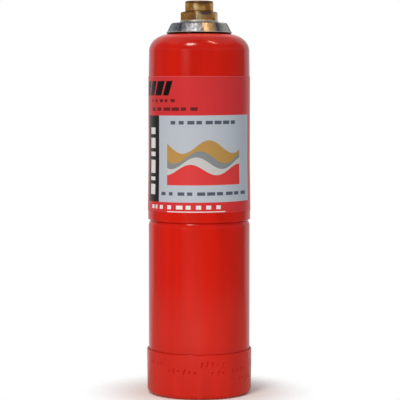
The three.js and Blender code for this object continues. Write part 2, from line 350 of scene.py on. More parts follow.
def unrolled_group():
    """Place on the canister's side: distance round it from the front, and height, both in millimetres."""
    tree, given = new_group("Unrolled side", {"Radius": LIP_RADIUS}, ["Around", "Height"])
    x, y, z = split(object_place(tree))
    around = calc("ARCTAN2", x, -y) * (given["Radius"] / MM)
    add(tree, "NodeGroupOutput", {"Around": around, "Height": z / MM})
    return tree


def surface_group():
    """Fine ripple of a coating and the broad unevenness of drawn metal under it, as a height in metres."""
    tree, given = new_group("Coated surface", {"Ripple": 0.00002, "Waviness": 0.0001}, ["Height", "Tone"])
    place = object_place(tree)
    fine = noise(place, 700.0, 2.0) * given["Ripple"]
    broad = noise(stretched(place, 0.22), 42.0, 1.0) * given["Waviness"]
    add(tree, "NodeGroupOutput", {"Height": fine + broad, "Tone": noise(stretched(place, 0.12), 75.0)})
    return tree


def wear_group():
    """Mask of small scuffs: 1 where handling has dulled the surface."""
    tree, given = new_group("Scuffed edge", {"Edge Height": 0.0, "Reach": 0.002, "Amount": 0.3}, ["Mask"])
    place = object_place(tree)
    away = abs(split(place)[2] - given["Edge Height"])
    near = calc("SUBTRACT", 1.0, away / given["Reach"], clamp=True)
    specks = ramp(noise(place, 900.0, 4.0, 0.65), 0.52, 0.62)
    add(tree, "NodeGroupOutput", {"Mask": near * specks * given["Amount"]})
    return tree


def turning_group():
    """Rings that a lathe tool leaves, and the soft sectors that polishing leaves across them."""
    tree, given = new_group("Turned metal", {"Pitch": 0.0003, "Depth": 0.000004},
                            ["Height", "Sectors", "Mottle"])
    place = object_place(tree)
    x, y, z = split(place)
    flat = joined(tree, x, y)
    rings = calc("SINE", (z - length_of(flat)) / given["Pitch"] * (2 * math.pi))
    around = add(tree, "ShaderNodeVectorMath", {0: flat}, operation="NORMALIZE")["Vector"]
    add(tree, "NodeGroupOutput", {
        "Height": rings * given["Depth"], "Sectors": noise(around, 4.5, 4.0, 0.6),
        "Mottle": noise(place, 210.0, 5.0, 0.6)})
    return tree


def shader_group(tree, name, maker, inputs):
    """Places a shader group in a material, and builds it the first time."""
    group = bpy.data.node_groups.get(name) or maker()
    return add(tree, "ShaderNodeGroup", inputs, node_tree=group)


def new_material(name):
    material = bpy.data.materials.new(name)
    material.use_nodes = True
    tree = material.node_tree
    tree.nodes.clear()
    return material, tree


def surface(tree, inputs, height):
    """Ends a material with a Principled BSDF, its normal from a height in metres."""
    normal = add(tree, "ShaderNodeBump", {"Strength": 1.0, "Distance": 1.0, "Height": height})[0]
    shader = add(tree, "ShaderNodeBsdfPrincipled", {**inputs, "Normal": normal})[0]
    add(tree, "ShaderNodeOutputMaterial", {0: shader})


# Materials

def enamel(name, edge_height):
    """Glossy red enamel over drawn steel, dulled at one edge, with a painted reflection that makes it paler
    close to the collar
    """
    paint = bpy.context.scene.canister.paint
    material, tree = new_material(name)
    coat = shader_group(tree, "Coated surface", surface_group, {"Ripple": paint.peel, "Waviness": 0.00009})
    scuffs = shader_group(tree, "Scuffed edge", wear_group,
                          {"Edge Height": edge_height, "Reach": 0.0008, "Amount": paint.scuffs})
    tone = ramp(coat["Tone"], 0.35, 0.65)
    # Painted reflection: paler paint towards the collar, where the crown reflects the pale ceiling
    painted_crown_reflection = ramp(split(object_place(tree))[2], CROWN_REFLECTION_LOW, CROWN_REFLECTION_FULL, 0.0, 0.9)
    colour = layered(mixed(tone, [c * 0.88 for c in paint.colour], paint.colour), [
        (scuffs["Mask"], (0.36, 0.05, 0.035)), (painted_crown_reflection, (0.90, 0.045, 0.028))])
    roughness = ramp(scuffs["Mask"], 0.0, 1.0, 0.16, 0.5, smooth=False)
    surface(tree, {"Base Color": colour, "Roughness": roughness, "IOR": 1.47}, coat["Height"])
    return material


def box_mask(around, height, left, right, low, high):
    """1 inside a rectangle of the unrolled side, in millimetres, with slightly soft edges."""
    across = ramp(around, left - PRINT_EDGE, left + PRINT_EDGE) * ramp(
        around, right + PRINT_EDGE, right - PRINT_EDGE)
    return across * ramp(height, low - PRINT_EDGE, low + PRINT_EDGE) * ramp(
        height, high + PRINT_EDGE, high - PRINT_EDGE)


def bars_group():
    """A row of plain printed bars of uneven length, with gaps, where a label has a line of print."""
    tree, given = new_group("Printed bars", {
        "Along": 0.0, "Up": 0.0, "Start": 0.0, "End": 10.0, "Base": 0.0, "Size": 3.0, "Pitch": 2.0,
        "Seed": 0.0}, ["Mask"])
    cells = (given["Along"] - given["Start"]) / given["Pitch"]
    cell = calc("FLOOR", cells)
    within = (cells - cell) * given["Pitch"]
    key = joined(tree, cell, given["Seed"])
    chance = add(tree, "ShaderNodeTexWhiteNoise", {"Vector": key}, noise_dimensions="2D")[0]
    length = given["Pitch"] * ramp(chance, 0.0, 1.0, 0.45, 0.86)
    up = given["Up"] - given["Base"]
    across = ramp(within, 0.0, 2 * PRINT_EDGE) * ramp(length - within, -PRINT_EDGE, PRINT_EDGE)
    upright = ramp(up, -PRINT_EDGE, PRINT_EDGE) * ramp(given["Size"] - up, -PRINT_EDGE, PRINT_EDGE)
    inside = calc("GREATER_THAN", given["Along"], given["Start"]) * calc(
        "LESS_THAN", given["Along"], given["End"])
    add(tree, "NodeGroupOutput", {"Mask": across * upright * inside})
    return tree


# The print, in millimetres round the label from the front and up from the floor
PRINT_EDGE = 0.12
PANEL_LEFT, PANEL_RIGHT = -30.9, 42.7
PANEL_LOW, PANEL_HIGH = 134.6, 193.2
STRIP_LEFT = -45.6
WAVE_FIELD = (-23.2, 31.0, 146.2, 180.0)
WAVE_LENGTH = 36.0
GREY_INK, BAND_INK = (0.085, 0.10, 0.14), (0.14, 0.012, 0.014)
BLACK_INK, WHITE_INK = (0.006, 0.005, 0.006), (0.80, 0.76, 0.76)
WAVES = (  # level, swing, phase and ink
    (172.0, 4.5, 0.4, (0.46, 0.27, 0.075)), (165.0, 4.2, 1.5, (0.23, 0.25, 0.26)),
    (161.0, 4.0, 1.9, (0.55, 0.56, 0.56)), (156.5, 3.6, 2.6, (0.66, 0.045, 0.045)))
BAR_ROWS = (  # start, end, base, size, pitch, seed and ink
    (-20.4, 28.8, 187.2, 2.4, 6.15, 3.0, GREY_INK), (-28.4, 38.8, 139.2, 2.3, 6.72, 9.0, GREY_INK),
    (-40.0, -15.4, 202.2, 2.1, 4.9, 5.0, BAND_INK), (-40.0, 0.8, 196.4, 2.3, 6.8, 2.0, BAND_INK),
    (-39.5, -25.0, 129.9, 2.6, 4.8, 7.0, WHITE_INK), (-23.0, 18.4, 129.9, 2.6, 6.9, 12.0, WHITE_INK))
UNDERLINE = (-23.0, 18.2, 127.9, 128.5)
SLANT = -0.35  # how far the slanted bars lean, for each millimetre up
SLANTED_LOW, SLANTED_HIGH = 206.8, 216.6
SLANTED_BARS = ((-123.5, -117.0), (-115.6, -109.5), (-108.0, -101.0), (-99.4, -94.4))
STRIP_BAR_LEFT, STRIP_BAR_RIGHT = -42.0, -35.4
STRIP_BARS = ((139.5, 146.5), (149.0, 151.5), (154.0, 163.0), (165.5, 168.5), (171.0, 178.0),
              (180.5, 185.0))


def printed_wrap():
    """The label's print, drawn as fields of colour on the unrolled side, in millimetres, with a painted
    highlight along its top edge
    """
    settings = bpy.context.scene.canister.label
    material, tree = new_material("printed_wrap")
    unrolled = shader_group(tree, "Unrolled side", unrolled_group, {"Radius": UPPER_RADIUS})
    around = unrolled["Around"]
    height = unrolled["Height"] - around * math.tan(settings.tilt)
    layers = [
        (box_mask(around, height, STRIP_LEFT, PANEL_LEFT, PANEL_LOW, PANEL_HIGH), settings.strip),
        (box_mask(around, height, PANEL_LEFT, PANEL_RIGHT, PANEL_LOW, PANEL_HIGH), settings.panel),
    ]
    field = box_mask(around, height, *WAVE_FIELD)
    for level, swing, phase, ink in WAVES:
        line = calc("SINE", around * (2 * math.pi / WAVE_LENGTH) + phase) * swing + level
        layers.append((ramp(line - height, -0.15, 0.15) * field, ink))
    for start, end, base, size, pitch, seed, ink in BAR_ROWS:
        row = shader_group(tree, "Printed bars", bars_group, {
            "Along": around, "Up": height, "Start": start, "End": end, "Base": base, "Size": size,
            "Pitch": pitch, "Seed": seed})
        layers.append((row["Mask"], ink))
    layers.append((box_mask(around, height, *UNDERLINE), WHITE_INK))
    slanted = height * SLANT + around
    for left, right in SLANTED_BARS:
        layers.append((box_mask(slanted, height, left, right, SLANTED_LOW, SLANTED_HIGH), BLACK_INK))
    for low, high in STRIP_BARS:
        layers.append((box_mask(around, height, STRIP_BAR_LEFT, STRIP_BAR_RIGHT, low, high), WHITE_INK))
    # Painted highlight: a pale line along the wrap's top edge
    painted_edge_highlight = ramp(unrolled["Height"], LABEL_TOP / MM - 0.55, LABEL_TOP / MM - 0.25, 0.0, 0.38)
    layers.append((painted_edge_highlight, (0.85, 0.16, 0.15)))
    colour = layered(settings.band, layers)
    film = shader_group(tree, "Coated surface", surface_group, {"Ripple": 0.000006, "Waviness": 0.00016})
    surface(tree, {"Base Color": colour, "Roughness": 0.3, "Specular IOR Level": 0.32}, film["Height"])
    return material


# Places on the collar, in millimetres round it from the front. A painted dark reflection has a place and a
# half width.
PAINTED_DARK_REFLECTIONS = ((-15.2, 2.4), (14.6, 2.6))
GOLD_PLACE, STAIN_PLACE, SHEEN_PLACE = 4.8, 9.0, 22.5


def plated_steel():
    """Turned steel with dull plating, yellow stains in places, and painted reflections, highlight and shade
    """
    metal = bpy.context.scene.canister.metal
    material, tree = new_material("plated_steel")
    turned = shader_group(tree, "Turned metal", turning_group, {"Pitch": 0.0005, "Depth": 0.0000012})
    unrolled = shader_group(tree, "Unrolled side", unrolled_group, {"Radius": COLLAR_RADIUS})
    place = object_place(tree)
    height = split(place)[2]
    rub = noise(stretched(place, 0.5), 620.0, 3.0, 0.6)
    around = unrolled["Around"]
    bands = ramp(turned["Sectors"], 0.38, 0.52, 0.75, 1.0)
    # Painted dark reflections: bands, over its random sectors, is darkened in two upright streaks
    for sector, half_width in PAINTED_DARK_REFLECTIONS:
        bands = bands * ramp(abs(around - sector), half_width, 0.3, 1.0, 0.15)
    grey = mixed(ramp(rub, 0.42, 0.60), [c * 0.5 for c in metal.plating], metal.plating)
    wander = rub * 5.0 + around - 2.5
    stain = ramp(abs(wander - STAIN_PLACE), 5.0, 1.5, 0.0, 0.8)
    gold_width = ramp(height, CROWN_TOP, COLLAR_TOP, 2.7, 1.3, smooth=False)
    gold = calc("SUBTRACT", 1.35, abs(wander - GOLD_PLACE) / gold_width, clamp=True)
    worn = ramp(rub, 0.36, 0.52, 0.45, 1.0)
    # Painted reflection: a paler patch towards the collar's right edge
    painted_sheen = ramp(abs(around - SHEEN_PLACE), 5.5, 3.0, 0.0, 0.6)
    # Painted highlight on the rim just above the undercut, and painted shade in the undercut
    rim = ramp(height, COLLAR_SKIRT + 0.9 * MM, COLLAR_SKIRT + 0.5 * MM, 0.0, 0.6)
    shade = ramp(height, COLLAR_SKIRT + 0.1 * MM, COLLAR_SKIRT - 0.1 * MM)
    colour = layered(mixed(bands, (0.09, 0.08, 0.09), grey), [
        (stain, (0.42, 0.34, 0.15)), (gold * worn, metal.passivation), (painted_sheen, (0.84, 0.83, 0.76)),
        (rim, (0.86, 0.84, 0.80)), (shade, (0.012, 0.010, 0.010))])
    roughness = ramp(turned["Mottle"], 0.3, 0.7, 0.36, 0.52)
    surface(tree, {"Base Color": colour, "Metallic": 1.0, "Roughness": roughness}, turned["Height"])
    return material


def bright_steel(name, tone, rough):
    """Plain bright steel with a fine turned grain"""
    material, tree = new_material(name)
    turned = shader_group(tree, "Turned metal", turning_group, {"Pitch": 0.0003, "Depth": 0.0000006})
    dull = ramp(turned["Mottle"], 0.3, 0.7)
    colour = mixed(dull, (tone * 0.85, tone * 0.8, tone * 0.64), (tone, tone, tone))
    roughness = ramp(turned["Mottle"], 0.3, 0.7, rough, rough + 0.12)
    surface(tree, {"Base Color": colour, "Metallic": 1.0, "Roughness": roughness}, turned["Height"])
    return material


def smudge(around, height, blur, place, level, width, tall, strength):
    """strength inside a soft, ragged oval of the unrolled side, and 0 outside it. place and width are in
    millimetres, heights in metres."""
    across = (around - place) / width
    up = (height - level) / tall
    away = calc("SQRT", across ** 2.0 + up ** 2.0)
    return ramp(away + blur * 1.2 - 0.6, 1.15, 0.45, 0.0, strength)


BRASS_SLANT = 350.0  # lean of the painted highlight on the spigot: millimetres round for each metre up


def tarnished_brass():
    """Machined brass, tarnished by handling, with painted highlights, reflections and shade"""
    metal = bpy.context.scene.canister.metal
    material, tree = new_material("tarnished_brass")
    turned = shader_group(tree, "Turned metal", turning_group, {"Pitch": 0.0006, "Depth": 0.000002})
    place = object_place(tree)
    broad = noise(stretched(place, 0.45), 170.0, 3.0, 0.55)
    unrolled = shader_group(tree, "Unrolled side", unrolled_group, {"Radius": SPIGOT_RADIUS})
    around, height = unrolled["Around"], split(place)[2]
    on_hexagon = ramp(height, HEX_TOP + 0.15 * MM, HEX_TOP - 0.15 * MM)
    corner = math.radians(HEX_TURN) * SPIGOT_RADIUS / MM
    scratched = ramp(noise(stretched(place, 0.12), 900.0, 2.0, 0.6), 0.42, 0.58, 0.1, 0.7)
    bloom = ramp(noise(place, 105.0, 2.0), 0.57, 0.68, 0.0, 0.45)
    # Painted reflection: the right facet is made paler khaki next to the corner
    painted_facet_reflection = ramp(around, corner - 0.12, corner + 0.12) * ramp(around, corner + 1.2, corner + 4.2, 0.9, 0.15)
    # A dark purple patch at the top of the right facet
    dark_facet_patch = smudge(around, height, broad, 3.4, HEX_TOP - 1.0 * MM, 4.2, 1.9 * MM, 0.9)
    # Painted highlight: a thin light line along the hexagon's corner
    edge = ramp(abs(around - corner), 0.45, 0.15, 0.0, 0.7)
    middle = (HEX_TOP + VALVE_TOP) / 2
    slanting = (height - middle) * BRASS_SLANT + around
    # Painted highlight: a cream oval on the spigot, leaning with the slant
    painted_spigot_highlight = smudge(slanting, height, broad, -2.5, middle - 1.1 * MM, 2.1, 2.9 * MM, 1.0)
    # A darker brown patch just below the spigot's top rim
    dark_top_patch = smudge(around, height, broad, 2.4, VALVE_TOP - 1.9 * MM, 3.6, 1.8 * MM, 0.75)
    # Painted dark reflection along the spigot's rounded top rim
    rim = ramp(height, VALVE_TOP - 2.3 * MM, VALVE_TOP - 1.2 * MM, 0.0, 0.85)
    # Painted shade where the spigot meets the hexagon
    junction_shade = ramp(abs(height - HEX_TOP), 1.1 * MM, 0.4 * MM, 0.0, 0.85)
    colour = layered(mixed(ramp(broad, 0.40, 0.62), metal.tarnish, metal.brass), [
        (scratched * on_hexagon, (0.46, 0.22, 0.07)), (bloom, (0.28, 0.17, 0.15)),
        (painted_facet_reflection * on_hexagon, (1.0, 0.80, 0.40)), (dark_facet_patch * on_hexagon, (0.13, 0.085, 0.13)),
        (edge * on_hexagon, (1.0, 0.86, 0.55)), (painted_spigot_highlight * (1.0 - on_hexagon), (1.0, 0.80, 0.45)),
        (dark_top_patch, (0.20, 0.10, 0.06)), (rim, (0.10, 0.055, 0.03)), (junction_shade, (0.14, 0.065, 0.02))])
    roughness = ramp(broad, 0.3, 0.7, 0.40, 0.26)
    surface(tree, {"Base Color": colour, "Metallic": 0.68, "Roughness": roughness}, turned["Height"])
    return material


def black_rubber():
    """Moulded rubber with a dusty bloom"""
    material, tree = new_material("black_rubber")
    coat = shader_group(tree, "Coated surface", surface_group, {"Ripple": 0.00001, "Waviness": 0.0})
    colour = mixed(ramp(coat["Tone"], 0.3, 0.7), (0.012, 0.012, 0.012), (0.035, 0.034, 0.033))
    surface(tree, {"Base Color": colour, "Roughness": 0.7}, coat["Height"])
    return material


# Geometry node trees

def finish_tree(geometry, finish):
    """Merges doubles and ends a tree in Realize Instances and Set Material."""
    tree = geometry.tree
    merged = add(tree, "GeometryNodeMergeByDistance", {0: geometry, "Distance": 1e-6})[0]
    real = add(tree, "GeometryNodeRealizeInstances", {0: merged})[0]
    done = add(tree, "GeometryNodeSetMaterial", {"Geometry": real, "Material": finish})[0]
    add(tree, "NodeGroupOutput", {"Geometry": done})
    return tree


def lathe_tree():
    """Turns an outline in the XZ plane round the upright axis."""
    tree, given = new_group("Turn outline", {"Outline": "Geometry", "Facets": 96, "Finish": "Material"})
    rail_radius = 0.03
    curve = add(tree, "GeometryNodeMeshToCurve", {0: given["Outline"]})[0]
    x, _, z = split(add(tree, "GeometryNodeInputPosition")[0])
    section = joined(tree, x - rail_radius, -z)
    profile = add(tree, "GeometryNodeSetPosition", {"Geometry": curve, "Position": section})[0]
    rail = add(tree, "GeometryNodeCurvePrimitiveCircle",
               {"Resolution": given["Facets"], "Radius": rail_radius}, mode="RADIUS")[0]
    swept = add(tree, "GeometryNodeCurveToMesh", {"Curve": rail, "Profile Curve": profile})[0]
    return finish_tree(swept, given["Finish"])


def radial(tree):
    """The position's distance from the axis, its angle from the front, and its three numbers."""
    x, y, z = split(add(tree, "GeometryNodeInputPosition")[0])
    return calc("SQRT", x ** 2.0 + y ** 2.0), calc("ARCTAN2", x, -y), (x, y, z)


def moved_out(geometry, radius, new_radius, numbers):
    """Sets each point's distance from the axis."""
    x, y, z = numbers
    share = new_radius / calc("MAXIMUM", radius, 1e-6)
    place = joined(geometry.tree, x * share, y * share, z)
    return add(geometry.tree, "GeometryNodeSetPosition", {"Geometry": geometry, "Position": place})[0]


def hexagon_tree():
    """Mills six flats into a turned piece. Round parts slimmer than the flats stay as they are."""
    tree, given = new_group("Mill flats", {
        "Geometry": "Geometry", "Across Flats": 0.024, "Turn": 0.0, "Edge": 0.0003, "Finish": "Material"})
    sector = math.radians(60)
    radius, angle, numbers = radial(tree)
    folded = calc("FLOORED_MODULO", angle - given["Turn"], sector) - sector / 2
    flat = given["Across Flats"] / 2.0 / calc("COSINE", folded)
    limited = calc("SMOOTH_MIN", radius, flat, given["Edge"])
    return finish_tree(moved_out(given["Geometry"], radius, limited, numbers), given["Finish"])


def strike_tree():
    """Strikes shallow marks into a ring's outer wall, along the edges of a flat pattern of strokes."""
    tree, given = new_group("Strike marks", {
        "Geometry": "Geometry", "Strokes": "Object", "Depth": 0.0003, "Half Width": 0.0006,
        "Wall Radius": 0.0355, "Finish": "Material"})
    strokes = add(tree, "GeometryNodeObjectInfo", {"Object": given["Strokes"]})["Geometry"]
    radius, _, numbers = radial(tree)
    near = add(tree, "GeometryNodeProximity", {0: strokes}, target_element="EDGES")["Distance"]
    bell = ramp(near / given["Half Width"], 1.0, 0.25)
    sunk = bell * calc("GREATER_THAN", radius, given["Wall Radius"]) * given["Depth"]
    return finish_tree(moved_out(given["Geometry"], radius, radius - sunk, numbers), given["Finish"])


def coil_tree():
    """A round or square bar wound on a helix about the upright axis."""
    tree, given = new_group("Wind coil", {
        "Turns": 5.0, "Radius": 0.0024, "Low": 0.0, "Height": 0.01, "Bar": 0.0003, "Sides": 12,
        "Steps": 48, "Finish": "Material"})
    helix = add(tree, "GeometryNodeCurveSpiral", {
        "Resolution": given["Steps"], "Rotations": given["Turns"], "Start Radius": given["Radius"],
        "End Radius": given["Radius"], "Height": given["Height"]})[0]
    lift = joined(tree, 0.0, 0.0, given["Low"])
    placed = add(tree, "GeometryNodeTransform", {"Geometry": helix, "Translation": lift})[0]
    bar = add(tree, "GeometryNodeCurvePrimitiveCircle",
              {"Resolution": given["Sides"], "Radius": given["Bar"]}, mode="RADIUS")[0]
    wound = add(tree, "GeometryNodeCurveToMesh", {
        "Curve": placed, "Profile Curve": bar, "Fill Caps": True})[0]
    return finish_tree(wound, given["Finish"])


def node_input(tree, name):
    """The identifier of a tree's input, from its name."""
    found = [item.identifier for item in tree.interface.items_tree
             if item.item_type == "SOCKET" and item.in_out == "INPUT" and item.name == name]
    if not found:
        raise RuntimeError(f"{tree.name} has no input named {name}")
    return found[0]


def linked(name, data):
    """A new object in the scene."""
    made = bpy.data.objects.new(name, data)
    bpy.context.scene.collection.objects.link(made)
    return made


def built(name, mesh, steps, sharp):
    """Runs a mesh through node trees, each with its inputs, and returns the piece as a plain mesh object."""
    source = bpy.data.objects.new(name + "_source", mesh)
    for maker, tree_name, inputs in steps:
        tree = bpy.data.node_groups.get(tree_name) or maker()
        modifier = source.modifiers.new(tree_name, "NODES")
        modifier.node_group = tree
        for input_name, value in inputs.items():
            modifier[node_input(tree, input_name)] = value
    bpy.context.scene.collection.objects.link(source)
    bpy.context.view_layer.update()
    evaluated = source.evaluated_get(bpy.context.evaluated_depsgraph_get())
    result = bpy.data.meshes.new_from_object(evaluated)
    source.modifiers.clear()
    bpy.data.objects.remove(source)
    result.name = name
    return finished(name, result, sharp)


def finished(name, mesh, sharp):
    """Merges doubles, turns the faces outwards, shades the mesh smooth up to an angle and places it."""
    work = bmesh.new()
    work.from_mesh(mesh)
    bmesh.ops.remove_doubles(work, verts=work.verts, dist=1e-7)
    bmesh.ops.recalc_face_normals(work, faces=work.faces)
    work.to_mesh(mesh)
    work.free()
    mesh.shade_smooth()
    mesh.set_sharp_from_angle(angle=math.radians(sharp))
    return linked(name, mesh)


def settle(piece, node, body="canister"):
    """Puts a finished piece in its CAD node's place."""
    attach(piece, body)
    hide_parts(node)


# Outlines: points as (radius, height), or (radius, height, rounding) at a corner

def arc(centre_radius, centre_height, across, up, from_degrees, to_degrees, steps=10):
    """Points of an elliptical arc. 0 degrees points outwards."""
    points = []
    for i in range(steps + 1):
        angle = math.radians(from_degrees + (to_degrees - from_degrees) * i / steps)
        points.append((max(0.0, centre_radius + across * math.cos(angle)),
                       centre_height + up * math.sin(angle)))
    return points


def rounded(points, steps=5):
    """Rounds each corner of a closed outline that gives a radius as its third number."""
    result = []
    count = len(points)
    for i, point in enumerate(points):
        if len(point) < 3:
            result.append(Vector(point))
            continue
        corner = Vector(point[:2])
        before = Vector(points[i - 1][:2]) - corner
        after = Vector(points[(i + 1) % count][:2]) - corner
        half = before.angle(after) / 2
        back = min(point[2] / math.tan(half), before.length * 0.49, after.length * 0.49)
        first = corner + before.normalized() * back
        last = corner + after.normalized() * back
        for step in range(steps + 1):
            share = step / steps
            result.append(first.lerp(corner, share).lerp(corner.lerp(last, share), share))
    return result


def outline_mesh(name, points, closed):
    """The outline as a chain of edges in the XZ plane."""
    mesh = bpy.data.meshes.new(name)
    count = len(points)
    edges = [(i, i + 1) for i in range(count - 1)]
    if closed:
        edges.append((count - 1, 0))
    mesh.from_pydata([(p[0], 0.0, p[1]) for p in points], edges, [])
    return mesh


def lathed(name, points, finish, facets, more=(), closed=True, sharp=35.0):
    """A piece turned from an outline, and run through more trees where they are given."""
    mesh = outline_mesh(name + "_outline", points, closed)
    turning = (lathe_tree, "Turn outline", {"Facets": facets, "Finish": finish})
    return built(name, mesh, [turning, *more], sharp)


def coiled(name, finish, turns, radius, low, high, bar, sides, steps):
    """A bar wound on a helix whose middle line runs from low to high."""
    return built(name, bpy.data.meshes.new(name + "_seed"), [(coil_tree, "Wind coil", {
        "Turns": turns, "Radius": radius, "Low": low, "Height": high - low, "Bar": bar, "Sides": sides,
        "Steps": steps, "Finish": finish})], sharp=35.0)


def upper_radius_at(height):
    """Outer radius of the vessel's upper half: belled at the lap, straight, then drawn in to the crown."""
    if height > CROWN_TANGENT:
        rise = min(1.0, (height - CROWN_TANGENT) / CROWN_DEPTH)
        return CROWN_FLAT_RADIUS + (CROWN_RADIUS - CROWN_FLAT_RADIUS) * math.sqrt(1 - rise * rise)
    bell = max(0.0, 1 - (height - LAP_EDGE) / (BELL_TOP - LAP_EDGE))
    drawn = max(0.0, 1 - (CROWN_TANGENT - height) / (CROWN_TANGENT - CROWN_TAPER))
    return UPPER_RADIUS + (LIP_RADIUS - UPPER_RADIUS) * bell + (CROWN_RADIUS - UPPER_RADIUS) * drawn


def levels(low, high, count):
    return [low + (high - low) * i / (count - 1) for i in range(count)]


def vessel_outline():
    """Both halves in section: domed bottom, necking, groove, lap lip, bell, crown, then the inside."""
    lip_round = 0.45 * MM
    inside = UPPER_RADIUS - VESSEL_WALL
    lower_inside = LOWER_RADIUS - VESSEL_WALL
    crown_inside = CROWN_RADIUS - VESSEL_WALL
    side = [(upper_radius_at(z), z) for z in levels(LAP_EDGE + 1.2 * MM, CROWN_TANGENT - MM, 24)]
    return [
        *arc(0, BOTTOM_TANGENT, LOWER_RADIUS, BOTTOM_TANGENT - VESSEL_LOW, -90, 0, 24),
        *arc(LOWER_RADIUS - NECKING_CURVE, NECKING_START, NECKING_CURVE, NECKING_CURVE,
             0, math.degrees(NECKING_TILT), 12),
        (GROOVE_RADIUS, LAP_EDGE),
        *arc(LIP_RADIUS - lip_round, LAP_EDGE + lip_round, lip_round, lip_round, -90, 0, 6),
        *side,
        *arc(CROWN_FLAT_RADIUS, CROWN_TANGENT, CROWN_RADIUS - CROWN_FLAT_RADIUS, CROWN_DEPTH, 0, 90, 26),
        (NECK_BORE, CROWN_TOP),
        (NECK_BORE, CROWN_TOP - VESSEL_WALL),
        *arc(CROWN_FLAT_RADIUS, CROWN_TANGENT, crown_inside - CROWN_FLAT_RADIUS,
             CROWN_DEPTH - VESSEL_WALL, 90, 0, 12),
        (inside, CROWN_TAPER),
        (inside, LAP_TOP),
        (GROOVE_RADIUS - VESSEL_WALL, LAP_TOP),
        (GROOVE_RADIUS - VESSEL_WALL, GROOVE_FLOOR),
        (lower_inside, NECKING_START),
        *arc(0, BOTTOM_TANGENT, lower_inside, BOTTOM_TANGENT - VESSEL_LOW - VESSEL_WALL, 0, -90, 12),
    ]


def ring_outline():
    """The foot ring in section, with close rows where the marks are struck."""
    inner = LOWER_RADIUS + FIT_GAP
    outer = RING_RADIUS
    bend = outer - RING_FLARE - RING_CORNER
    inner_bend = RING_CORNER - RING_WALL
    rim = 0.4 * MM
    chamfer = 0.55 * MM
    marked = levels(RING_CORNER + 0.6 * MM, RING_TOP - 1.4 * MM, 74)
    rows = [(outer - RING_FLARE * (1 - (z - RING_CORNER) / (RING_TOP - RING_CORNER)), z) for z in marked]
    return [
        (bend - RING_TREAD, 0.0),
        *arc(bend, RING_CORNER, RING_CORNER, RING_CORNER, -90, 0, 14),
        *rows,
        *arc(outer - rim, RING_TOP - rim, rim, rim, 0, 90, 6),
        *arc(inner + chamfer, RING_TOP - chamfer, chamfer, chamfer, 90, 180, 5),
        *arc(bend, RING_CORNER, inner_bend, inner_bend, 0, -90, 8),
        (bend - RING_TREAD, RING_WALL),
    ]


# Punch marks, as strokes in millimetres: round dots, bars and short ticks on the unrolled wall
MARK_GROUPS = (
    (-40.0, 23.5, "bar dot tick bar"), (-22.5, 19.3, "tick bar dot bar tick dot"),
    (1.5, 24.3, "bar bar tick dot bar"), (9.5, 18.2, "dot bar dot"), (25.0, 19.6, "tick bar bar dot"),
    (31.0, 13.2, "bar dot bar tick"), (46.0, 21.0, "dot bar tick bar dot"),
    (66.0, 18.5, "tick bar dot bar"), (88.0, 20.5, "bar dot bar tick dot"),
    (-66.0, 17.5, "dot tick bar bar"), (-92.0, 20.0, "bar tick dot bar dot"),
)
MARK_PITCH = 3.9


def mark_strokes(kind, left, level):
    """The strokes of one mark as chains of (around, height) points."""
    if kind != "dot":
        size = 3.0 if kind == "bar" else 1.5
        return [[(left, level - size / 2), (left + 0.25 * size, level + size / 2)]]
    radius = 0.35
    turn = [math.radians(30 * i) for i in range(13)]
    return [[(left + radius * math.cos(a), level + radius * math.sin(a)) for a in turn]]


def marks_object():
    """All the strokes bent round the ring's wall, as edges that the strike tree measures from."""
    points, edges = [], []
    radius = RING_RADIUS - RING_FLARE / 2
    for start, level, kinds in MARK_GROUPS:
        for place, kind in enumerate(kinds.split()):
            for chain in mark_strokes(kind, start + MARK_PITCH * place, level + 0.5 * math.sin(place)):
                first = len(points)
                for around, height in chain:
                    angle = around * MM / radius
                    points.append((radius * math.sin(angle), -radius * math.cos(angle), height * MM))
                edges += [(i, i + 1) for i in range(first, len(points) - 1)]
    mesh = bpy.data.meshes.new("mark_strokes")
    mesh.from_pydata(points, edges, [])
    return linked("mark_strokes", mesh)


class CANISTER_OT_vessel(bpy.types.Operator):
    """Turn the pressed vessel with its lap joint and enamel it"""
    bl_idname = "canister.vessel"
    bl_label = "Vessel"

    def execute(self, context):
        paint = enamel("vessel_enamel", LAP_EDGE)
        vessel = lathed("vessel_shell", vessel_outline(), paint, facets=256, closed=False, sharp=50.0)
        settle(vessel, "vessel")
        return {"FINISHED"}


class CANISTER_OT_foot_ring(bpy.types.Operator):
    """Roll the foot ring and strike its punch marks"""
    bl_idname = "canister.foot_ring"
    bl_label = "Foot ring"

    def execute(self, context):
        marks = context.scene.canister.marks
        strokes = marks_object()
        paint = enamel("ring_enamel", 0.0)
        striking = (strike_tree, "Strike marks", {
            "Strokes": strokes, "Depth": marks.depth, "Half Width": marks.stroke,
            "Wall Radius": RING_RADIUS - RING_FLARE - 0.2 * MM, "Finish": paint})
        ring = lathed("foot_ring_band", ring_outline(), paint, marks.facets, [striking], sharp=50.0)
        bpy.data.objects.remove(strokes)
        settle(ring, "foot_ring")
        return {"FINISHED"}


# A shallow crease in the wrap: place round it and height, how far it reaches and how high it stands, and
# how fast it fades round and up
CREASE_AROUND, CREASE_HEIGHT = 34.5 * MM, 216.5 * MM
CREASE_REACH, CREASE_RISE = 2.2 * MM, 0.12 * MM
CREASE_FADE_ROUND, CREASE_FADE_UP = 0.5, 2.5


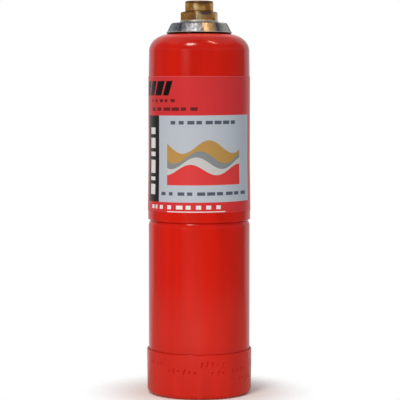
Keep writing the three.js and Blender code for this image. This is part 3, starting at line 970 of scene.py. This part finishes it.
def wrap_mesh(overlap):
    """The label as one closed sheet, wound once round with its outer end lying over its inner end."""
    turns = 320
    rows = levels(LABEL_LOW, LABEL_TOP, 60)
    lap_angle = overlap / UPPER_RADIUS
    start = -math.pi - lap_angle / 2
    end = math.pi + lap_angle / 2
    rise_angle = 2 * lap_angle
    points, faces = [], []
    for i in range(turns + 1):
        angle = start + (end - start) * i / turns
        into_lap = min(1.0, max(0.0, (angle - (end - lap_angle - rise_angle)) / rise_angle))
        lift = (LABEL_THICKNESS + LABEL_GAP) * into_lap * into_lap * (3 - 2 * into_lap)
        for z in rows:
            away = math.hypot((angle * UPPER_RADIUS - CREASE_AROUND) * CREASE_FADE_ROUND,
                              (z - CREASE_HEIGHT) * CREASE_FADE_UP)
            crease = CREASE_RISE * math.exp(-(away / CREASE_REACH) ** 2)
            inner = upper_radius_at(z) + LABEL_GAP + lift + crease
            for radius in (inner, inner + LABEL_THICKNESS):
                points.append((radius * math.sin(angle), -radius * math.cos(angle), z))
    across = 2 * len(rows)
    top = across - 2
    for i in range(turns):
        a, b = i * across, (i + 1) * across
        for k in range(0, top, 2):
            faces.append((a + k + 1, b + k + 1, b + k + 3, a + k + 3))
            faces.append((a + k, a + k + 2, b + k + 2, b + k))
        faces.append((a, b, b + 1, a + 1))
        faces.append((a + top, a + top + 1, b + top + 1, b + top))
    last = turns * across
    for k in range(0, top, 2):
        faces.append((k, k + 1, k + 3, k + 2))
        faces.append((last + k, last + k + 2, last + k + 3, last + k + 1))
    mesh = bpy.data.meshes.new("label_wrap")
    mesh.from_pydata(points, [], faces)
    return mesh


class CANISTER_OT_label(bpy.types.Operator):
    """Wrap the printed label round the upper half"""
    bl_idname = "canister.label"
    bl_label = "Label"

    def execute(self, context):
        mesh = wrap_mesh(context.scene.canister.label.overlap)
        mesh.materials.append(printed_wrap())
        label = finished("label_wrap", mesh, sharp=40.0)
        settle(label, "label")
        return {"FINISHED"}


class CANISTER_OT_neck(bpy.types.Operator):
    """Turn the plated collar and the bright washer on it"""
    bl_idname = "canister.neck"
    bl_label = "Collar and washer"

    def execute(self, context):
        edge_height = COLLAR_TOP - COLLAR_EDGE
        lean = math.tan(COLLAR_SLOPE)
        band_radius = COLLAR_RADIUS - (COLLAR_BAND_TOP - COLLAR_SLOPE_LOW) * lean
        edge_radius = (COLLAR_RADIUS - (edge_height - COLLAR_SLOPE_LOW) * lean
                       - COLLAR_EDGE / math.cos(COLLAR_SLOPE))
        collar_points = rounded([
            (COLLAR_BORE, COLLAR_LOW), (COLLAR_SPIGOT_RADIUS, COLLAR_LOW, 0.4 * MM),
            (COLLAR_SPIGOT_RADIUS, CROWN_TOP), (COLLAR_UNDERCUT_RADIUS, CROWN_TOP),
            (COLLAR_UNDERCUT_RADIUS, COLLAR_SKIRT - 0.1 * MM), (COLLAR_RADIUS, COLLAR_SKIRT, 0.15 * MM),
            (COLLAR_RADIUS, COLLAR_SKIRT + 0.4 * MM, 0.2 * MM),
            (band_radius - 0.12 * MM, COLLAR_BAND_TOP, 0.15 * MM),
            *arc(edge_radius, edge_height, COLLAR_EDGE, COLLAR_EDGE, math.degrees(COLLAR_SLOPE), 90, 12),
            (COLLAR_BORE, COLLAR_TOP)])
        washer_points = rounded([
            (COLLAR_BORE, COLLAR_TOP), (WASHER_RADIUS, COLLAR_TOP, 0.35 * MM),
            (WASHER_RADIUS, WASHER_TOP, 0.45 * MM), (COLLAR_BORE, WASHER_TOP)])
        for name, points, node, slot, finish in (
                ("collar_boss", collar_points, "neck_collar", "plated_steel", plated_steel()),
                ("sealing_ring", washer_points, "sealing_washer", "washer_steel",
                 bright_steel("washer_steel", 0.99, 0.38))):
            settle(lathed(name, points, finish, facets=192), node)
        return {"FINISHED"}


def valve_outline():
    """The valve body in section, from the shank's end up the outside and down through the socket."""
    thread_root = SOCKET_RADIUS + 0.75 * MM
    mouth_low = VALVE_TOP - SOCKET_MOUTH
    seat_low = THROAT_LOW - (CHAMBER_RADIUS - THROAT_RADIUS)
    chamfer_top = HEX_CORNER_RADIUS - 2 * HEX_CHAMFER
    cone = [(HEX_CORNER_RADIUS - 2 * HEX_CHAMFER * share, HEX_TOP - HEX_CHAMFER * (1 - share))
            for share in levels(0, 1, 13)]
    under = [(HEX_CORNER_RADIUS - HEX_CHAMFER * (1 - share), WASHER_TOP + HEX_CHAMFER / 2 * share)
             for share in levels(0, 1, 9)]
    return rounded([
        (CHAMBER_RADIUS, VALVE_LOW, 0.2 * MM), (SHANK_RADIUS - MM, VALVE_LOW, 0.2 * MM),
        (SHANK_RADIUS, VALVE_LOW + MM, 0.2 * MM), (SHANK_RADIUS, WASHER_TOP, 0.0001),
        *under,
        *cone,
        (chamfer_top - 0.5 * MM, HEX_TOP),
        (SPIGOT_RADIUS, HEX_TOP), (SPIGOT_RADIUS, VALVE_TOP, 1.3 * MM),
        (SOCKET_RADIUS + SOCKET_MOUTH, VALVE_TOP, 0.15 * MM), (SOCKET_RADIUS, mouth_low),
        (thread_root, mouth_low - 0.3 * MM), (thread_root, SEAL_TOP + 0.8 * MM),
        (SOCKET_RADIUS, SEAL_TOP + 0.5 * MM), (SOCKET_RADIUS, SEAL_LOW),
        (THROAT_RADIUS, SEAL_LOW, 0.2 * MM), (THROAT_RADIUS, THROAT_LOW),
        (CHAMBER_RADIUS, seat_low),
    ])


class CANISTER_OT_valve(bpy.types.Operator):
    """Turn the brass valve body, mill its hexagon and cut the socket's thread"""
    bl_idname = "canister.valve"
    bl_label = "Valve body"

    def execute(self, context):
        brass = tarnished_brass()
        milling = (hexagon_tree, "Mill flats", {
            "Across Flats": HEX_ACROSS_FLATS, "Turn": math.radians(HEX_TURN), "Edge": 0.35 * MM,
            "Finish": brass})
        valve = lathed("valve_turning", valve_outline(), brass, facets=360, more=[milling], sharp=50.0)
        settle(valve, "valve_body")
        pitch = context.scene.canister.metal.thread_pitch
        ridge = 0.8 * MM
        low = SEAL_TOP + 1.4 * MM
        high = VALVE_TOP - SOCKET_MOUTH - 0.9 * MM
        thread = coiled("socket_thread", brass, (high - low) / pitch, SOCKET_RADIUS + ridge, low, high,
                        bar=ridge, sides=4, steps=72)
        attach(thread, "canister")
        return {"FINISHED"}


class CANISTER_OT_valve_insides(bpy.types.Operator):
    """Fit the seal, ball, spring and retainer inside the valve"""
    bl_idname = "canister.valve_insides"
    bl_label = "Valve insides"

    def execute(self, context):
        steel = bright_steel("polished_steel", 0.72, 0.12)
        centre = (BALL_LOW + BALL_TOP) / 2
        ball_radius = (BALL_TOP - BALL_LOW) / 2
        seal_points = rounded([
            (SEAL_BORE, SEAL_LOW), (SEAL_RADIUS, SEAL_LOW), (SEAL_RADIUS, SEAL_TOP, 0.3 * MM),
            (SEAL_BORE, SEAL_TOP, 0.4 * MM)])
        settle(lathed("stem_seal_ring", seal_points, black_rubber(), facets=96), "stem_seal")
        ball_points = arc(0, centre, ball_radius, ball_radius, -90, 90, 32)
        ball = lathed("valve_ball", ball_points, steel, facets=64, closed=False)
        settle(ball, "check_ball", body="check_ball")
        spring = coiled("valve_spring", steel, SPRING_COILS, SPRING_RADIUS, SPRING_LOW + SPRING_WIRE,
                        SPRING_TOP - SPRING_WIRE, bar=SPRING_WIRE, sides=12, steps=48)
        settle(spring, "check_spring")
        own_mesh(spring)
        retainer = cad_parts["spring_retainer"]
        retainer.data.materials.clear()
        retainer.data.materials.append(bpy.data.materials["tarnished_brass"])
        return {"FINISHED"}


# Stage

CAMERA_DISTANCE = 1.190
CAMERA_HEIGHT = 0.2143
CAMERA_SIDE = 0.00056
CAMERA_PITCH = math.radians(3.86)
CAMERA_LENS = 154.7


def area_lamp(name, width, height, radiance, colour, azimuth, elevation, distance, level=0.2):
    """Adds an oval lamp at an azimuth from the front and an elevation, in degrees, facing the axis."""
    data = bpy.data.lights.new(name, "AREA")
    data.shape = "ELLIPSE"
    data.size, data.size_y = width, height
    data.energy = radiance * math.pi * width * height * math.pi / 4
    data.color = colour
    turn, rise = math.radians(azimuth), math.radians(elevation)
    way = Vector((math.sin(turn) * math.cos(rise), -math.cos(turn) * math.cos(rise), math.sin(rise)))
    lamp = linked(name, data)
    lamp.location = Vector((0, 0, level)) + way * distance
    lamp.rotation_euler = way.to_track_quat("Z", "Y").to_euler()
    return lamp


def by_angle(angle, low, high, *shares):
    """A ramp over an angle, its ends in degrees."""
    return ramp(angle, math.radians(low), math.radians(high), *shares)


def by_elevation(upward, low, high, *shares):
    """A ramp over a direction's upward share, its ends given as elevations in degrees."""
    return ramp(upward, math.sin(math.radians(low)), math.sin(math.radians(high)), *shares)


WINDOW_AZIMUTH = math.radians(-31)
WINDOW_TOP = math.sin(math.radians(10))


def studio_world(ambient):
    """White to the camera. Gloss sees a backdrop behind the canister, a ceiling, bright upper sides, a low
    window at the front left, and the rest dark."""
    world = bpy.data.worlds.new("studio")
    world.use_nodes = True
    tree = world.node_tree
    tree.nodes.clear()
    x, y, z = split(add(tree, "ShaderNodeTexCoord")["Generated"])
    from_back = calc("ARCTAN2", abs(x), y)
    from_front = calc("ARCTAN2", x, -y)
    gloss = by_angle(from_back, 57, 51) * by_elevation(z, 58, 30, 0.1, 0.63)
    ceiling = by_elevation(z, 1.6, 11) * by_angle(from_front, -60, 50, 0.32, 0.48)
    ceiling = ceiling * by_elevation(z, 18, 7, 0.3, 1.0)
    sides = by_angle(from_back, 130, 60, 0.055, 0.17)
    upper_sides = by_elevation(z, 32, 46) * by_angle(from_back, 130, 105, 0.0, 0.45)
    pane = by_angle(abs(from_front - WINDOW_AZIMUTH), 14, 4) * calc("LESS_THAN", z, WINDOW_TOP)
    window = pane * by_elevation(z, 2.1, 3.2, 0.09, 1.3)
    for part in (ceiling, sides, upper_sides, window):
        gloss = calc("MAXIMUM", gloss, part)
    rays = add(tree, "ShaderNodeLightPath")
    sharp = calc("MAXIMUM", rays["Is Glossy Ray"], rays["Is Transmission Ray"])
    seen = blend(rays["Is Camera Ray"], blend(sharp, ambient, gloss), 1.0)
    background = add(tree, "ShaderNodeBackground", {"Color": (1, 1, 1, 1), "Strength": seen})[0]
    add(tree, "ShaderNodeOutputWorld", {0: background})
    bpy.context.scene.world = world


# What the camera sees of the floor: all of it close in, for the shadow, and none past the far radius
SHADOW_FULL, SHADOW_END = 38 * MM, 85 * MM
FADE_START, FADE_END = 0.7, 0.99  # shares of the floor's radius
# The floor's mirror image is bright within the inner slope from straight behind, dull past the outer one
SLOPE_OUTER, SLOPE_INNER = 1.5, 0.85
WHITE = (1.0, 1.0, 1.0)


def floor_material(radius):
    """Pale floor that fades out at its edge and inside the foot ring, and is clear from below. The camera
    sees it white, and gloss sees it darker beside the canister than behind it."""
    material, tree = new_material("pale_floor")
    place = object_place(tree)
    away = length_of(place)
    rays = add(tree, "ShaderNodeLightPath")
    camera_ray = rays["Is Camera Ray"]
    fade = blend(camera_ray, ramp(away, radius * FADE_START, radius * FADE_END),
                 ramp(away, SHADOW_FULL, SHADOW_END))
    tread = RING_RADIUS - RING_CORNER - RING_TREAD
    for clear_part in (add(tree, "ShaderNodeNewGeometry")["Backfacing"], ramp(away, tread, tread - MM)):
        fade = calc("MAXIMUM", fade, clear_part)
    grain = ramp(noise(place, 60.0), 0.3, 0.7, 0.0, 0.06)
    colour = mixed(grain, (0.95, 0.95, 0.95), (0.8, 0.8, 0.8))
    across, back, _ = split(place)
    slope = abs(across) / calc("MAXIMUM", back, MM)
    mirrored = mixed(ramp(slope, SLOPE_OUTER, SLOPE_INNER), (0.57, 0.54, 0.48), WHITE)
    colour = mixed(rays["Is Glossy Ray"], colour, mirrored)
    colour = mixed(camera_ray, colour, WHITE)
    pale = add(tree, "ShaderNodeBsdfDiffuse", {"Color": colour})[0]
    clear = add(tree, "ShaderNodeBsdfTransparent")[0]
    shown = add(tree, "ShaderNodeMixShader", {0: fade, 1: pale, 2: clear})[0]
    add(tree, "ShaderNodeOutputMaterial", {0: shown})
    return material


class CANISTER_OT_stage(bpy.types.Operator):
    """Set up the floor, the soft lights, the backdrop and the camera"""
    bl_idname = "canister.stage"
    bl_label = "Stage"

    def execute(self, context):
        stage = context.scene.canister.stage
        context.scene.view_settings.view_transform = "Standard"
        work = bmesh.new()
        bmesh.ops.create_circle(work, cap_ends=True, segments=96, radius=stage.floor_radius)
        mesh = bpy.data.meshes.new("floor")
        work.to_mesh(mesh)
        work.free()
        mesh.materials.append(floor_material(stage.floor_radius))
        floor = linked("floor", mesh)
        studio_world(stage.ambient)
        area_lamp("key_softbox", 0.26, 0.26, stage.key_radiance, (1.0, 0.9, 0.8),
                  azimuth=-25, elevation=50, distance=0.9)
        strip = area_lamp("strip_light", 0.022, 0.42, stage.strip_radiance, (1.0, 0.55, 0.35),
                          azimuth=50, elevation=62, distance=0.9)
        strip.visible_diffuse = False
        fill = area_lamp("fill_light", 0.24, 0.24, stage.fill_radiance, (1.0, 0.92, 0.84),
                         azimuth=-16, elevation=1, distance=0.3, level=0.03)
        fill.visible_glossy = False
        fill.visible_camera = False
        data = bpy.data.cameras.new("camera")
        data.lens = CAMERA_LENS
        camera = linked("camera", data)
        camera.location = (CAMERA_SIDE, -CAMERA_DISTANCE, CAMERA_HEIGHT)
        camera.rotation_euler = (math.pi / 2 - CAMERA_PITCH, 0, 0)
        context.scene.camera = camera
        return {"FINISHED"}


class CANISTER_PT_panel(bpy.types.Panel):
    """Lists the canister's settings and the steps that build it"""
    bl_idname = "CANISTER_PT_panel"
    bl_label = "Fuel canister"
    bl_space_type = "VIEW_3D"
    bl_region_type = "UI"
    bl_category = "Canister"

    def draw(self, context):
        settings = context.scene.canister
        for group in (settings.paint, settings.label, settings.marks, settings.metal, settings.stage):
            box = self.layout.box()
            for name in group.__annotations__:
                box.prop(group, name)
        for operator in OPERATORS:
            self.layout.operator(operator.bl_idname)


SETTINGS = (PaintSettings, LabelSettings, MarkSettings, MetalSettings, StageSettings, CanisterSettings)
OPERATORS = (CANISTER_OT_vessel, CANISTER_OT_foot_ring, CANISTER_OT_label, CANISTER_OT_neck,
             CANISTER_OT_valve, CANISTER_OT_valve_insides, CANISTER_OT_stage)


def register():
    for cls in (*SETTINGS, *OPERATORS, CANISTER_PT_panel):
        bpy.utils.register_class(cls)
    bpy.types.Scene.canister = PointerProperty(
        type=CanisterSettings, name="Canister", description="Settings of the fuel canister")


def unregister():
    del bpy.types.Scene.canister
    for cls in reversed((*SETTINGS, *OPERATORS, CANISTER_PT_panel)):
        bpy.utils.unregister_class(cls)


def main():
    register()
    bpy.ops.canister.vessel()
    bpy.ops.canister.foot_ring()
    bpy.ops.canister.label()
    bpy.ops.canister.neck()
    bpy.ops.canister.valve()
    bpy.ops.canister.valve_insides()
    bpy.ops.canister.stage()


if __name__ == "__main__":
    main()
